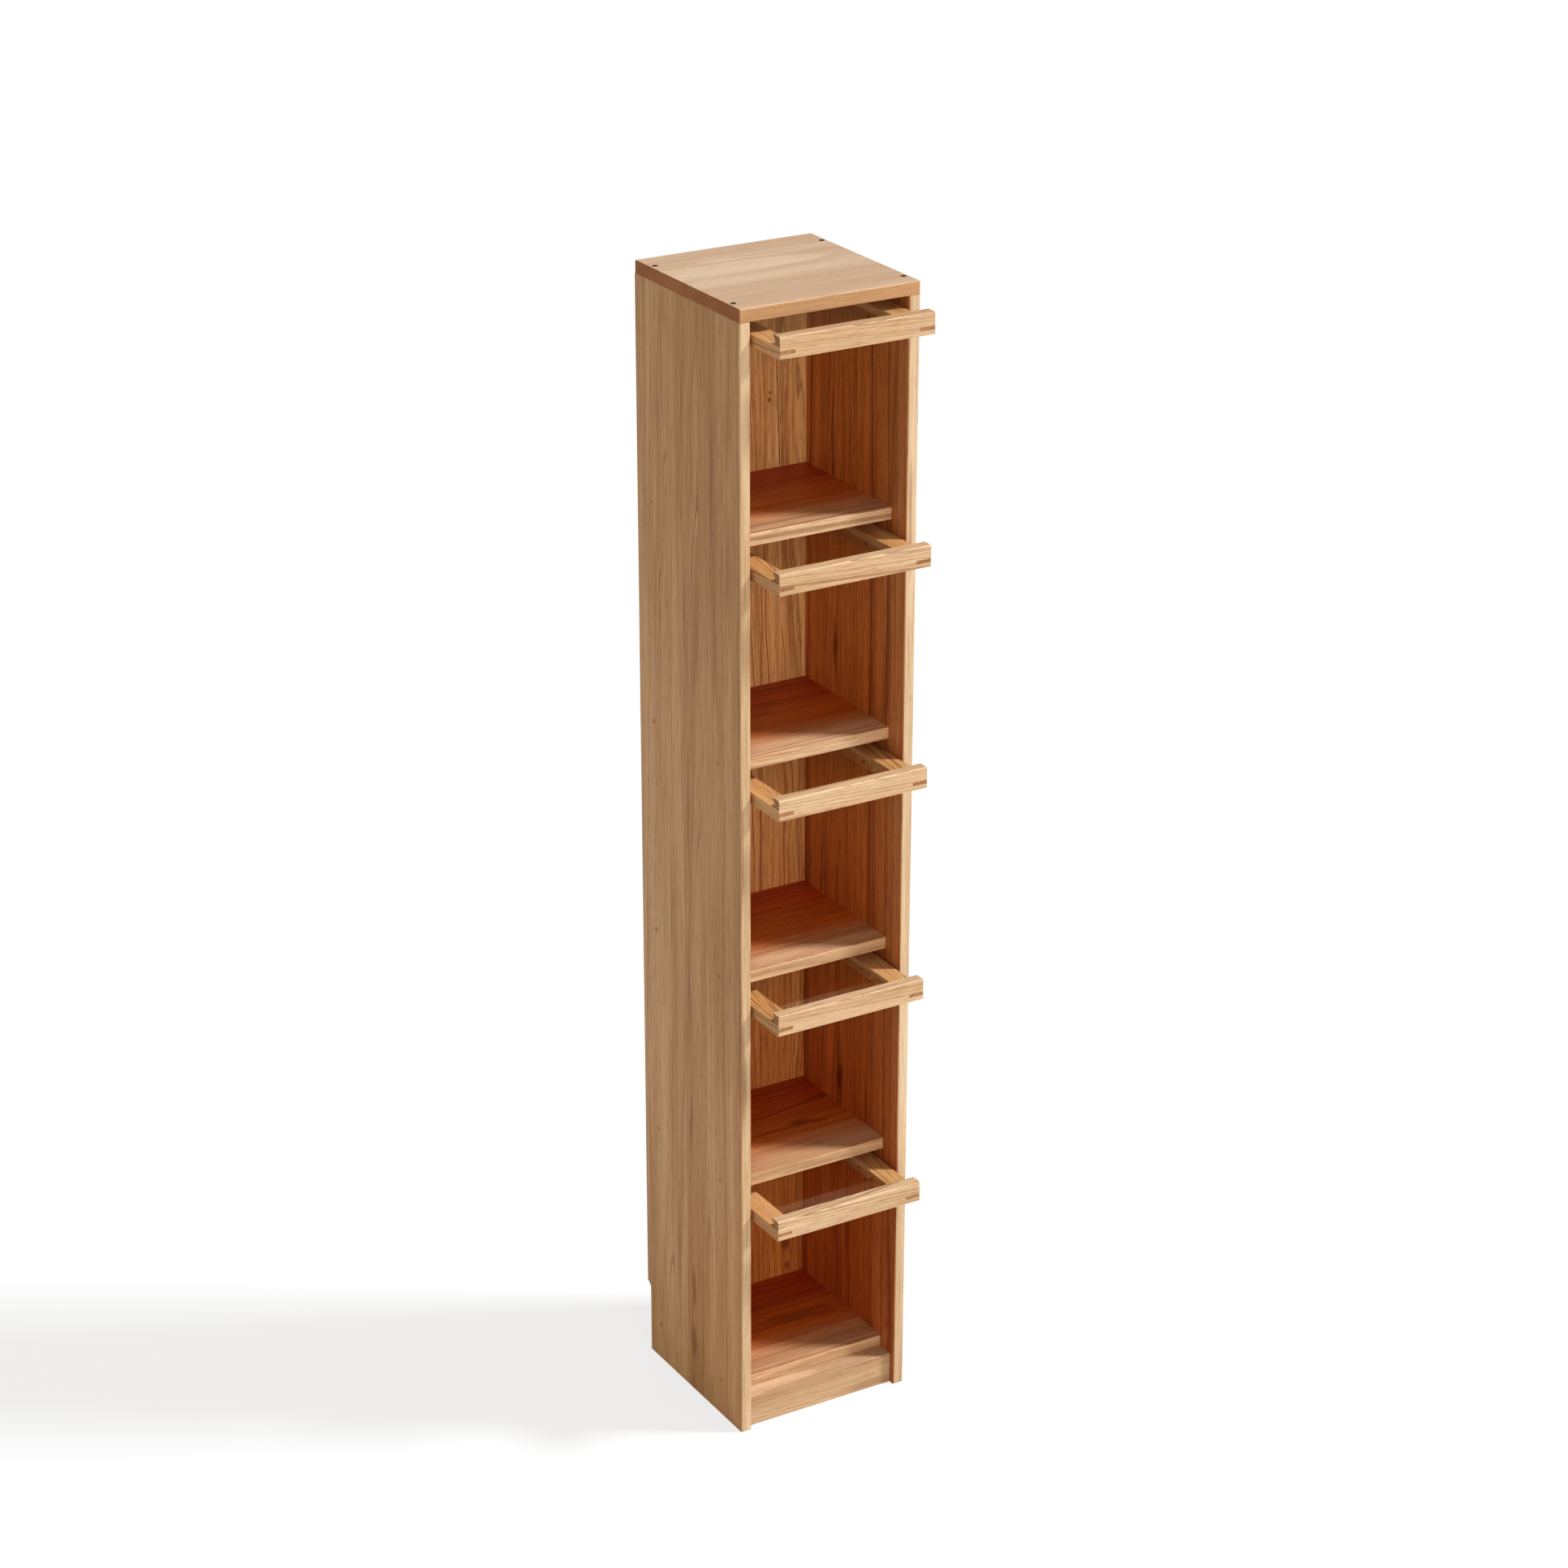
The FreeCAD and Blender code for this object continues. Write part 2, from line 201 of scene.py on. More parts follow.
    tree.links.new(colour, out["Color"])
    rough = calc(tree, "MULTIPLY_ADD", pores, 0.22, calc(tree, "MULTIPLY_ADD", early, 0.10, 0.40))
    rough = calc(tree, "ADD", rough, ramp(tree, fibre, 0.3, 0.7, -0.04, 0.06))
    tree.links.new(calc(tree, "MULTIPLY_ADD", given["End Grain"], 0.12, rough), out["Roughness"])
    high = calc(tree, "MULTIPLY_ADD", early, -0.35, calc(tree, "MULTIPLY", fibre, 0.35))
    high = calc(tree, "MULTIPLY_ADD", pores, -0.8, high)
    tree.links.new(high, out["Height"])
    return tree


# edge-glued panels: each stave is cut from another place in the log
def makeStaveGroup():
    tree, given, out = newGroup("oakStaves", [("Vector", "v", None)] + [
        entry for label in "ABCD" for entry in (("Shift " + label, "v", None), ("Tone " + label, "f", 0.5))
    ] + [("Seam " + label, "f", 9.0) for label in "ABC"], [("Vector", "v"), ("Tone", "f"), ("Joint", "f")])
    across = addNode(tree, "ShaderNodeSeparateXYZ", inputs={0: given["Vector"]}).outputs[1]
    shift, tone, nearest = given["Shift A"], given["Tone A"], None
    for label, after in zip("ABC", "BCD"):
        over = calc(tree, "GREATER_THAN", across, given["Seam " + label])
        gap = calc(tree, "ABSOLUTE", calc(tree, "SUBTRACT", across, given["Seam " + label]))
        nearest = gap if nearest is None else calc(tree, "MINIMUM", nearest, gap)
        shift = addNode(tree, "ShaderNodeMix", {"data_type": "VECTOR"}, {
            0: over, 4: shift, 5: given["Shift " + after]}).outputs[1]
        tone = mixNumber(tree, over, tone, given["Tone " + after])
    tree.links.new(move(tree, "ADD", given["Vector"], shift), out["Vector"])
    tree.links.new(tone, out["Tone"])
    tree.links.new(ramp(tree, nearest, 0.0002, 0.0006, 1.0, 0.0), out["Joint"])
    return tree


# knots, flames and mineral streaks: a long soft patch at a place on the board
def makeMarkGroup():
    tree, given, out = newGroup("oakMark", [
        ("Vector", "v", None), ("Seed", "f", 0.0), ("Middle", "v", None), ("Half Size", "v", None),
        ("Strength", "f", 0.5)], [("Mask", "f")])
    shift = addNode(tree, "ShaderNodeCombineXYZ", inputs={i: given["Seed"] for i in range(3)}).outputs[0]
    wave = calc(tree, "SUBTRACT", noise(tree, given["Vector"], (9.0, 30.0, 0.0), shift, 2.0), 0.5)
    ragged = noise(tree, given["Vector"], (22.0, 420.0, 0.0), shift, 3.0, 0.6)
    away = move(tree, "DIVIDE", move(tree, "SUBTRACT", given["Vector"], given["Middle"]), given["Half Size"])
    parts = addNode(tree, "ShaderNodeSeparateXYZ", inputs={0: away}).outputs
    side = calc(tree, "MULTIPLY_ADD", wave, 2.4, parts[1])
    reach = distance(tree, parts[0], side)
    reach = calc(tree, "MULTIPLY_ADD", calc(tree, "SUBTRACT", ragged, 0.5), 1.3, reach)
    mask = calc(tree, "MULTIPLY", ramp(tree, reach, 0.35, 1.0, 1.0, 0.0), given["Strength"])
    tree.links.new(mask, out["Mask"])
    return tree


boardGroup, staveGroup, markGroup = makeBoardGroup(), makeStaveGroup(), makeMarkGroup()

oakColours = {
    "outer": {"Pale": tint(234, 205, 172), "Deep": tint(198, 159, 119), "Line": tint(132, 83, 46)},
    "top": {"Pale": tint(223, 199, 175), "Deep": tint(198, 168, 139), "Line": tint(146, 102, 70)},
    "door": {"Pale": tint(228, 200, 166), "Deep": tint(196, 160, 121), "Line": tint(132, 85, 48)},
    "back": {"Pale": tint(230, 190, 142), "Deep": tint(190, 141, 90), "Line": tint(122, 64, 26)},
}

# faces painted with a richer tone than the front: painted light and shade, where each face is multiplied by a
# tone that stands in for how it is lit, darker and warmer in shade and paler where light falls. Columns:
# which way they face, what the colour is multiplied by, the strength of the ring lines, and a fade (axis,
# from, to, start, end) measured from the piece's middle
# painted shade, deeper towards the bottom
paintedShadeLowDown = (2, 0.15, -0.75, 0.0, 1.0)
# painted shade, deeper further in from the front
paintedShadeInward = (1, -0.17, -0.05, 0.7, 1.0)
# painted light and shade on shelf tops: a pale strip at the front where light falls, deep shade behind it
shelfPaintedShadeInward = (1, -0.105, -0.025, 0.18, 1.0)
paintedShadingByFace = {
    # left side: front edge painted paler and yellower, outer face painted in shade, darker at the top and
    # lighter low down, inner face painted deep in shade
    "leftSide": [
        {"axis": 1, "sign": -1, "shade": (0.98, 1.07, 1.12, 1), "lines": 0.4},
        {"axis": 0, "sign": -1, "shade": (0.94, 0.80, 0.62, 1), "lines": 0.6},
        {"axis": 0, "sign": -1, "shade": (0.89, 0.86, 0.80, 1), "fade": (2, 0.1, 0.8, 0.0, 1.0)},
        {"axis": 0, "sign": -1, "shade": (1.16, 1.17, 1.16, 1), "fade": (2, 0.0, -0.75, 0.0, 1.0)},
        {"axis": 0, "sign": 1, "shade": (0.92, 0.46, 0.165, 1), "lines": 1.7, "fade": paintedShadeInward},
        {"axis": 0, "sign": 1, "shade": (0.94, 0.70, 0.56, 1), "fade": paintedShadeLowDown}],
    # right side: front edge painted paler and yellower, outer face painted in shade, inner face painted deep
    # in shade
    "rightSide": [
        {"axis": 1, "sign": -1, "shade": (0.98, 1.07, 1.12, 1), "lines": 0.4},
        {"axis": 0, "sign": 1, "shade": (0.94, 0.80, 0.62, 1), "lines": 0.6},
        {"axis": 0, "sign": -1, "shade": (0.92, 0.46, 0.165, 1), "lines": 1.7, "fade": paintedShadeInward},
        {"axis": 0, "sign": -1, "shade": (0.94, 0.70, 0.56, 1), "fade": paintedShadeLowDown}],
    # shelves: painted shade on the top behind the lit front strip, deeper towards the back, and on the
    # underside
    "shelf": [
        {"axis": 2, "sign": 1, "shade": (0.90, 0.33, 0.075, 1), "lines": 0.8, "fade": shelfPaintedShadeInward},
        {"axis": 2, "sign": 1, "shade": (0.76, 0.38, 0.24, 1), "fade": (1, -0.03, 0.09, 0.0, 1.0)},
        {"axis": 2, "sign": -1, "shade": (0.88, 0.34, 0.10, 1)}],
    # back boards: painted shade on the front face, deeper towards the bottom
    "back": [
        {"axis": 1, "sign": -1, "shade": (1.00, 0.92, 0.80, 1), "lines": 1.5},
        {"axis": 1, "sign": -1, "shade": (0.76, 0.46, 0.24, 1), "fade": (2, 0.5, -0.8, 0.0, 1.0)}],
    # top: painted shade on the front and back edges and on both ends
    "top": [
        {"axis": 1, "sign": -1, "shade": (0.84, 0.68, 0.50, 1)},
        {"axis": 1, "sign": 1, "shade": (0.84, 0.68, 0.50, 1)},
        {"axis": 0, "sign": -1, "shade": (0.97, 0.66, 0.38, 1)},
        {"axis": 0, "sign": 1, "shade": (0.97, 0.66, 0.38, 1)}],
    # door frames: painted shade on the members' sides and tops
    "frame": [
        {"axis": 0, "sign": -1, "shade": (0.98, 0.80, 0.58, 1)},
        {"axis": 0, "sign": 1, "shade": (0.98, 0.80, 0.58, 1)},
        {"axis": 2, "sign": 1, "shade": (0.98, 0.77, 0.50, 1)}],
    # runners: painted shade on their sides and tops
    "runner": [
        {"axis": 0, "sign": -1, "shade": (0.92, 0.62, 0.36, 1)},
        {"axis": 0, "sign": 1, "shade": (0.92, 0.62, 0.36, 1)},
        {"axis": 2, "sign": 1, "shade": (0.91, 0.54, 0.26, 1)}],
    # kick board: painted shade on its front face
    "kick": [{"axis": 1, "sign": -1, "shade": (0.80, 0.77, 0.71, 1)}],
    "plain": [],
}


def makeStaves(tree, place, seams, seed, fixed):
    # fixed: stave number -> its shift, where the figure matters
    dice = random.Random(seed)
    staves = addNode(tree, "ShaderNodeGroup", {"node_tree": staveGroup}, {"Vector": place})
    for i, label in enumerate("ABCD"):
        shift = (dice.uniform(-1.5, 1.5), dice.uniform(-0.06, 0.06), dice.uniform(-0.02, 0.03))
        staves.inputs["Shift " + label].default_value = fixed.get(i, shift)
        staves.inputs["Tone " + label].default_value = dice.uniform(0.25, 0.75)
    for label, seam in zip("ABC", seams):
        staves.inputs["Seam " + label].default_value = seam
    return staves.outputs


def makeOak(name, centre, along, colours, seed, shape, seams=(), paintedShading="plain", fixed=None, marks=(),
            holes=None):
    material = bpy.data.materials.new(name)
    material.use_nodes = True
    tree = material.node_tree
    tree.nodes.clear()
    coords = addNode(tree, "ShaderNodeTexCoord").outputs
    order = {"x": (0, 1, 2), "y": (1, 0, 2), "z": (2, 1, 0), "zx": (2, 0, 1)}[along]
    fromMiddle = move(tree, "SUBTRACT", coords["Object"], tuple(centre))
    parts = addNode(tree, "ShaderNodeSeparateXYZ", inputs={0: fromMiddle}).outputs
    turned = {i: parts[axis] for i, axis in enumerate(order)}
    place = addNode(tree, "ShaderNodeCombineXYZ", inputs=turned).outputs[0]
    normal = addNode(tree, "ShaderNodeSeparateXYZ", inputs={0: coords["Normal"]}).outputs
    board = addNode(tree, "ShaderNodeGroup", {"node_tree": boardGroup})
    for key, value in list(oakColours[colours].items()) + list(shape.items()):
        board.inputs[key].default_value = value
    board.inputs["Seed"].default_value = seed
    tree.links.new(ramp(tree, calc(tree, "ABSOLUTE", normal[order[0]]), 0.55, 0.8), board.inputs["End Grain"])
    colour = board.outputs["Color"]
    if seams:
        staves = makeStaves(tree, place, seams, seed, fixed or {})
        tree.links.new(staves["Vector"], board.inputs["Vector"])
        tree.links.new(staves["Tone"], board.inputs["Tone"])
        joint = calc(tree, "MULTIPLY", staves["Joint"], 0.45)
        colour = blendColour(tree, joint, colour, oakColours[colours]["Line"])
    else:
        tree.links.new(place, board.inputs["Vector"])
    for i, (length, across, halfLength, halfWidth, strength) in enumerate(marks):
        mark = addNode(tree, "ShaderNodeGroup", {"node_tree": markGroup}, {
            "Vector": place, "Seed": seed + 3.7 * i, "Middle": (length, across, 0),
            "Half Size": (halfLength, halfWidth, 1), "Strength": strength})
        colour = blendColour(tree, mark.outputs["Mask"], colour, oakColours[colours]["Line"])
    lines = shape["Line Strength"]
    # painted light and shade: each face's colour multiplied by its tone where the face looks that way, within
    # its fade
    for tone in paintedShadingByFace[paintedShading]:
        mask = ramp(tree, calc(tree, "MULTIPLY", normal[tone["axis"]], tone["sign"]), 0.35, 0.8)
        if "lines" in tone:
            lines = mixNumber(tree, mask, lines, tone["lines"])
        if "fade" in tone:
            axis, start, end, low, high = tone["fade"]
            mask = calc(tree, "MULTIPLY", mask, ramp(tree, parts[axis], start, end, low, high))
        shaded = blendColour(tree, 1.0, colour, tone["shade"], "MULTIPLY")
        colour = blendColour(tree, mask, colour, shaded)
    if isinstance(lines, bpy.types.NodeSocket):
        tree.links.new(lines, board.inputs["Line Strength"])
    if holes:
        # painted shade inside the screw holes, which sit mirrored about the piece's middle
        sideways = calc(tree, "SUBTRACT", calc(tree, "ABSOLUTE", parts[0]), holes["x"])
        deep = calc(tree, "ABSOLUTE", calc(tree, "SUBTRACT", parts[1], holes["middle"]))
        reach = distance(tree, sideways, calc(tree, "SUBTRACT", deep, holes["y"]))
        inside = ramp(tree, reach, holes["radius"], holes["radius"] + holes["soft"], 1.0, 0.0)
        colour = blendColour(tree, inside, colour, holes["colour"])
    bumpNode = addNode(tree, "ShaderNodeBump", inputs={
        "Strength": 0.3, "Distance": 0.0003, "Height": board.outputs["Height"]})
    shader = addNode(tree, "ShaderNodeBsdfPrincipled", inputs={
        "Base Color": colour, "Roughness": board.outputs["Roughness"], "Normal": bumpNode.outputs[0],
        "IOR": 1.47, "Specular IOR Level": 0.3})
    output = addNode(tree, "ShaderNodeOutputMaterial")
    tree.links.new(shader.outputs[0], output.inputs["Surface"])
    return material


# glass and steel
def makeGlass(settings):
    material = bpy.data.materials.new("paneGlass")
    material.use_nodes = True
    tree = material.node_tree
    tree.nodes.clear()
    coords = addNode(tree, "ShaderNodeTexCoord").outputs["Object"]
    smears = addNode(tree, "ShaderNodeTexNoise", inputs={
        "Vector": coords, "Scale": settings["smearScale"], "Detail": 3.0}).outputs["Fac"]
    shader = addNode(tree, "ShaderNodeBsdfPrincipled", inputs={
        "Base Color": settings["colour"], "Transmission Weight": 1.0, "IOR": settings["bending"],
        "Roughness": ramp(tree, smears, 0.45, 0.75, 0.0, settings["smearRoughness"])})
    clear = addNode(tree, "ShaderNodeBsdfTransparent", inputs={"Color": settings["shadow"]})
    path = addNode(tree, "ShaderNodeLightPath").outputs
    letThrough = calc(tree, "MAXIMUM", path["Is Shadow Ray"], path["Is Diffuse Ray"])
    mix = addNode(tree, "ShaderNodeMixShader", inputs={
        0: letThrough, 1: shader.outputs[0], 2: clear.outputs[0]})
    output = addNode(tree, "ShaderNodeOutputMaterial")
    tree.links.new(mix.outputs[0], output.inputs["Surface"])
    return material


def makeSteel(name, settings):
    material = bpy.data.materials.new(name)
    material.use_nodes = True
    tree = material.node_tree
    tree.nodes.clear()
    coords = addNode(tree, "ShaderNodeTexCoord").outputs["Object"]
    grain = addNode(tree, "ShaderNodeTexNoise", inputs={
        "Vector": coords, "Scale": 900.0, "Detail": 3.0}).outputs["Fac"]
    dull = addNode(tree, "ShaderNodeTexNoise", inputs={
        "Vector": coords, "Scale": 140.0, "Detail": 2.0}).outputs["Fac"]
    colour = blendColour(tree, ramp(tree, dull, 0.35, 0.7), settings["colour"], settings["dullColour"])
    bumpNode = addNode(tree, "ShaderNodeBump", inputs={"Strength": 0.15, "Distance": 0.0001, "Height": grain})
    shader = addNode(tree, "ShaderNodeBsdfPrincipled", inputs={
        "Base Color": colour, "Metallic": 1.0, "Normal": bumpNode.outputs[0],
        "Roughness": ramp(tree, grain, 0.3, 0.7, *settings["roughness"])})
    output = addNode(tree, "ShaderNodeOutputMaterial")
    tree.links.new(shader.outputs[0], output.inputs["Surface"])
    return material


glassSettings = {
    "bending": 1.3, "colour": tint(246, 251, 248), "shadow": tint(246, 250, 247),
    "smearScale": 9.0, "smearRoughness": 0.03}
steelSettings = {
    "screwSteel": {"colour": tint(74, 68, 62), "dullColour": tint(44, 39, 34), "roughness": (0.36, 0.52)},
    "pinSteel": {"colour": tint(196, 196, 194), "dullColour": tint(160, 160, 158), "roughness": (0.22, 0.36)},
}
paneGlass = makeGlass(glassSettings)
screwSteel, pinSteel = (makeSteel(name, settings) for name, settings in steelSettings.items())
print("materials ready")


# boards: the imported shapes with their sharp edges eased
def deselectAll():
    if bpy.context.object and bpy.context.object.mode != "OBJECT":
        bpy.ops.object.mode_set(mode="OBJECT")
    for item in bpy.context.view_layer.objects:
        item.select_set(False)


joinDistance = 0.000005
flatEnough = 20


def easeEdges(node, name, ease, smooth=32):
    deselectAll()
    made = nodes[node].copy()
    made.data = nodes[node].data.copy()
    made.parent = None
    for key in list(made.keys()):
        del made[key]
    made.name = made.data.name = name
    bpy.context.scene.collection.objects.link(made)
    made.data.materials.clear()
    made.select_set(True)
    bpy.context.view_layer.objects.active = made
    bpy.ops.object.mode_set(mode="EDIT")
    bpy.ops.mesh.select_all(action="SELECT")
    bpy.ops.mesh.remove_doubles(threshold=joinDistance)
    bpy.ops.mesh.dissolve_limited(angle_limit=math.radians(1.0))
    bpy.ops.object.mode_set(mode="OBJECT")
    bevel = made.modifiers.new("ease", "BEVEL")
    bevel.width = ease
    bevel.segments = 2
    bevel.limit_method = "ANGLE"
    bevel.angle_limit = math.radians(40)
    bevel.use_clamp_overlap = True
    bpy.ops.object.modifier_apply(modifier="ease")
    bpy.ops.object.shade_smooth_by_angle(angle=math.radians(smooth))
    if smooth > flatEnough:
        weighted = made.modifiers.new("flatFaces", "WEIGHTED_NORMAL")
        weighted.keep_sharp = True
        weighted.weight = 90
        bpy.ops.object.modifier_apply(modifier="flatFaces")
    return made


def dress(piece, node, material):
    piece.data.materials.clear()
    piece.data.materials.append(material)
    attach(piece, bodyOf[node])
    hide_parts(node)


def centreOf(node):
    low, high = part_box(node)
    return (low + high) / 2


panel = {
    "Pith Side": 55.0, "Pith Depth": 60.0, "Tilt": 0.02, "Ring Width": 5.0, "Wobble": 9.0,
    "Line Strength": 0.95, "Streak": 0.5}
backPanel = dict(panel, **{
    "Pith Side": -45.0, "Pith Depth": 35.0, "Ring Width": 6.5, "Tilt": 0.03, "Streak": 0.3})
# marks are (length, across, half length, half width, strength) in metres from the board's middle
boardSettings = {
    "side_panel_left": {
        "along": "z", "colours": "outer", "seed": 3.0, "shape": dict(panel, **{"Wobble": 13.0}),
        "paintedShading": "leftSide", "seams": (-0.031, 0.018, 0.062),
        "fixed": {2: (0.0, 0.050, -0.049), 1: (0.4, 0.085, -0.020)},
        "marks": [(-0.72, 0.000, 0.050, 0.010, 0.6), (-0.82, -0.004, 0.040, 0.012, 0.55),
                  (-0.42, 0.003, 0.07, 0.007, 0.5), (-0.20, 0.004, 0.11, 0.005, 0.4),
                  (0.10, 0.006, 0.16, 0.004, 0.42), (0.42, 0.012, 0.15, 0.003, 0.4),
                  (0.74, 0.018, 0.10, 0.003, 0.35)]},
    "side_panel_right": {
        "along": "z", "colours": "outer", "seed": 11.0,
        "shape": dict(panel, **{"Streak": 0.9, "Ring Width": 6.0}),
        "paintedShading": "rightSide", "seams": (-0.062, 0.030),
        "marks": [(0.30, 0.044, 0.060, 0.008, 0.9), (-0.425, 0.022, 0.034, 0.011, 1.0),
                  (-0.40, 0.026, 0.07, 0.005, 0.7), (0.62, 0.055, 0.13, 0.006, 0.8),
                  (0.26, -0.055, 0.09, 0.003, 0.6), (0.66, 0.005, 0.10, 0.003, 0.6),
                  (-0.10, 0.080, 0.12, 0.003, 0.7)]},
    "top_panel": {
        "along": "x", "colours": "top", "seed": 5.0,
        "shape": dict(panel, **{"Line Strength": 0.38, "Streak": 0.08}),
        "paintedShading": "top", "seams": (-0.078, 0.010, 0.085),
        # painted shade inside the top's screw holes
        "holes": {"x": 0.141, "y": 0.1135, "middle": -0.0065, "radius": 0.0041, "soft": 0.0006,
                  "colour": tint(52, 32, 18)}},
    "bottom_shelf": {
        "along": "x", "colours": "outer", "seed": 8.0, "shape": panel,
        "paintedShading": "shelf", "seams": (-0.045, 0.060),
        "marks": [(0.05, 0.0, 0.08, 0.018, 0.55), (-0.03, 0.05, 0.05, 0.010, 0.4),
                  (0.09, -0.02, 0.04, 0.008, 0.5)]},
    "kick_board": {
        "along": "x", "colours": "outer", "seed": 9.0,
        "shape": dict(panel, **{"Pith Side": 0.0, "Pith Depth": 40.0, "Line Strength": 0.7}),
        "paintedShading": "kick"},
}
for i in range(1, 5):
    boardSettings["shelf_%d" % i] = {
        "along": "x", "colours": "outer", "seed": 20.0 + 3.7 * i,
        "shape": dict(panel, **{"Line Strength": 0.7}),
        "paintedShading": "shelf", "seams": (-0.030 - 0.01 * i, 0.055),
        "marks": [(0.09 - 0.05 * i, -0.02 + 0.018 * i, 0.05, 0.006, 0.35)] if i < 4 else [
            (0.045, -0.015, 0.030, 0.009, 0.75), (0.075, -0.022, 0.020, 0.006, 0.7),
            (0.0, -0.02, 0.05, 0.004, 0.5)]}
    boardSettings["back_board_%d" % i] = {
        "along": "zx", "colours": "back", "seed": 40.0 + 2.3 * i, "shape": backPanel, "paintedShading": "back"}
boardSettings["back_board_3"]["marks"] = [
    (0.657, 0.014, 0.006, 0.004, 0.9), (0.668, 0.012, 0.004, 0.006, 0.6), (0.0, 0.0, 0.5, 0.003, 0.6)]
boardSettings["back_board_3"]["shape"] = dict(backPanel, **{"Ring Width": 5.0})
boardSettings["back_board_4"]["shape"] = dict(backPanel, **{
    "Pith Side": -48.0, "Pith Depth": 30.0, "Tilt": 0.04, "Wobble": 20.0, "Ring Width": 7.0})
boardSettings["back_board_4"]["marks"] = [
    (-0.80, -0.014, 0.022, 0.009, 0.8), (-0.755, -0.012, 0.016, 0.010, 0.7),
    (-0.845, -0.010, 0.012, 0.008, 0.7)]

backSwell = 0.00019
runnerSettings = {
    "Pith Side": 30.0, "Pith Depth": 30.0, "Tilt": 0.03, "Ring Width": 2.6, "Wobble": 3.0,
    "Line Strength": 0.6, "Streak": 0.2}


def buildCarcass():
    for node, settings in boardSettings.items():
        piece = easeEdges(node, node + "_oak", 0.0005)
        if node.startswith("back_board"):
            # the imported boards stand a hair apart; these meet, so no light shows through
            middle = centreOf(node).x
            for vertex in piece.data.vertices:
                vertex.co.x += math.copysign(backSwell, vertex.co.x - middle)
        dress(piece, node, makeOak(node + "Oak", centreOf(node), **settings))
    for side in ("left", "right"):
        for i in range(1, doorCount + 1):
            node = "runner_%s_%d" % (side, i)
            piece = easeEdges(node, node + "_oak", 0.0004)
            seed = 60.0 + 1.9 * i + (30 if side == "left" else 0)
            # runners get painted shade on their sides and tops
            oak = makeOak(node + "Oak", centreOf(node), "y", "door", seed, runnerSettings, (), "runner")
            dress(piece, node, oak)
    print("carcass dressed")


member = {
    "Pith Side": 25.0, "Pith Depth": 45.0, "Tilt": 0.05, "Ring Width": 2.8, "Wobble": 4.0,
    "Line Strength": 0.85, "Streak": 0.25}
# each part of a door frame: which way its grain runs, and its place in the row of seeds
frameParts = {
    "bottom_rail": ("x", 1.0), "top_rail": ("x", 2.0), "left_stile": ("y", 3.0), "right_stile": ("y", 4.0)}


def buildDoors():
    for i in range(1, doorCount + 1):
        for part, (along, place) in frameParts.items():
            node = "door_%d_%s" % (i, part)
            piece = easeEdges(node, node + "_oak", 0.0005)
            seed = 80.0 + 7.3 * i + 2.9 * place
            # frame members get painted shade on their sides and tops, the bottom rails none
            paintedShading = "plain" if part == "bottom_rail" else "frame"
            oak = makeOak(node + "Oak", centreOf(node), along, "door", seed, member, (), paintedShading)
            dress(piece, node, oak)
        pane = easeEdges("door_%d_pane" % i, "door_%d_glass" % i, 0.0004, 10)
        dress(pane, "door_%d_pane" % i, paneGlass)
        pins = easeEdges("door_%d_pins" % i, "door_%d_steel_pins" % i, 0.0005)
        dress(pins, "door_%d_pins" % i, pinSteel)
    print("doors dressed")


buildCarcass()
buildDoors()

plugShape = dict(member, **{"Line Strength": 0.9, "Streak": 1.0})
# the plugs share the runners' painted shade on their sides and tops
plugOak = makeOak("plugOak", (0, 0, 0), "y", "back", 7.7, plugShape, (), "runner")
plugs = easeEdges("shelf_plugs", "shelf_wood_plugs", 0.0003)
dress(plugs, "shelf_plugs", plugOak)

# a little smaller than the holes they sit in; metres
screwSettings = {
    "shelf_screws": {"shank": 0.00195, "head": 0.00365, "thick": 0.0030, "pitch": 0.0022},
    "top_screws": {"shank": 0.00195, "head": 0.00365, "thick": 0.0030, "pitch": 0.0022},
    "runner_screws": {"shank": 0.0017, "head": 0.00315, "thick": 0.0025, "pitch": 0.0018},
    "back_screws": {"shank": 0.00135, "head": 0.00275, "thick": 0.0020, "pitch": 0.0015},
}
screwShape = {"slotWidth": 0.26, "slotLong": 1.5, "slotDeep": 0.55, "plain": 0.3, "core": 0.72, "tip": 2.0,
              "blunt": 0.00005, "sunk": 0.0001}


def makeHead(settings):
    radius, thick = settings["head"], settings["thick"]
    deselectAll()
    bpy.ops.mesh.primitive_cylinder_add(vertices=40, radius=radius, depth=thick, location=(0, 0, -thick / 2))
    head = bpy.context.object
    bpy.ops.object.transform_apply(location=True)
    soft = head.modifiers.new("soft", "BEVEL")
    soft.width, soft.segments, soft.limit_method, soft.angle_limit = thick * 0.3, 3, "ANGLE", math.radians(60)
    bpy.ops.object.modifier_apply(modifier="soft")
    for turn in (0, 90):
        deselectAll()
        bpy.ops.mesh.primitive_cube_add(size=1.0, location=(0, 0, 0))
        slot = bpy.context.object
        slot.scale = (radius * screwShape["slotLong"], radius * screwShape["slotWidth"],
                      thick * screwShape["slotDeep"] * 2)
        slot.rotation_euler.z = math.radians(turn)
        bpy.ops.object.transform_apply(rotation=True, scale=True)
        bpy.context.view_layer.objects.active = head
        cut = head.modifiers.new("drive", "BOOLEAN")
        cut.operation, cut.solver, cut.object = "DIFFERENCE", "EXACT", slot
        bpy.ops.object.modifier_apply(modifier="drive")
        bpy.data.objects.remove(slot)
    return head


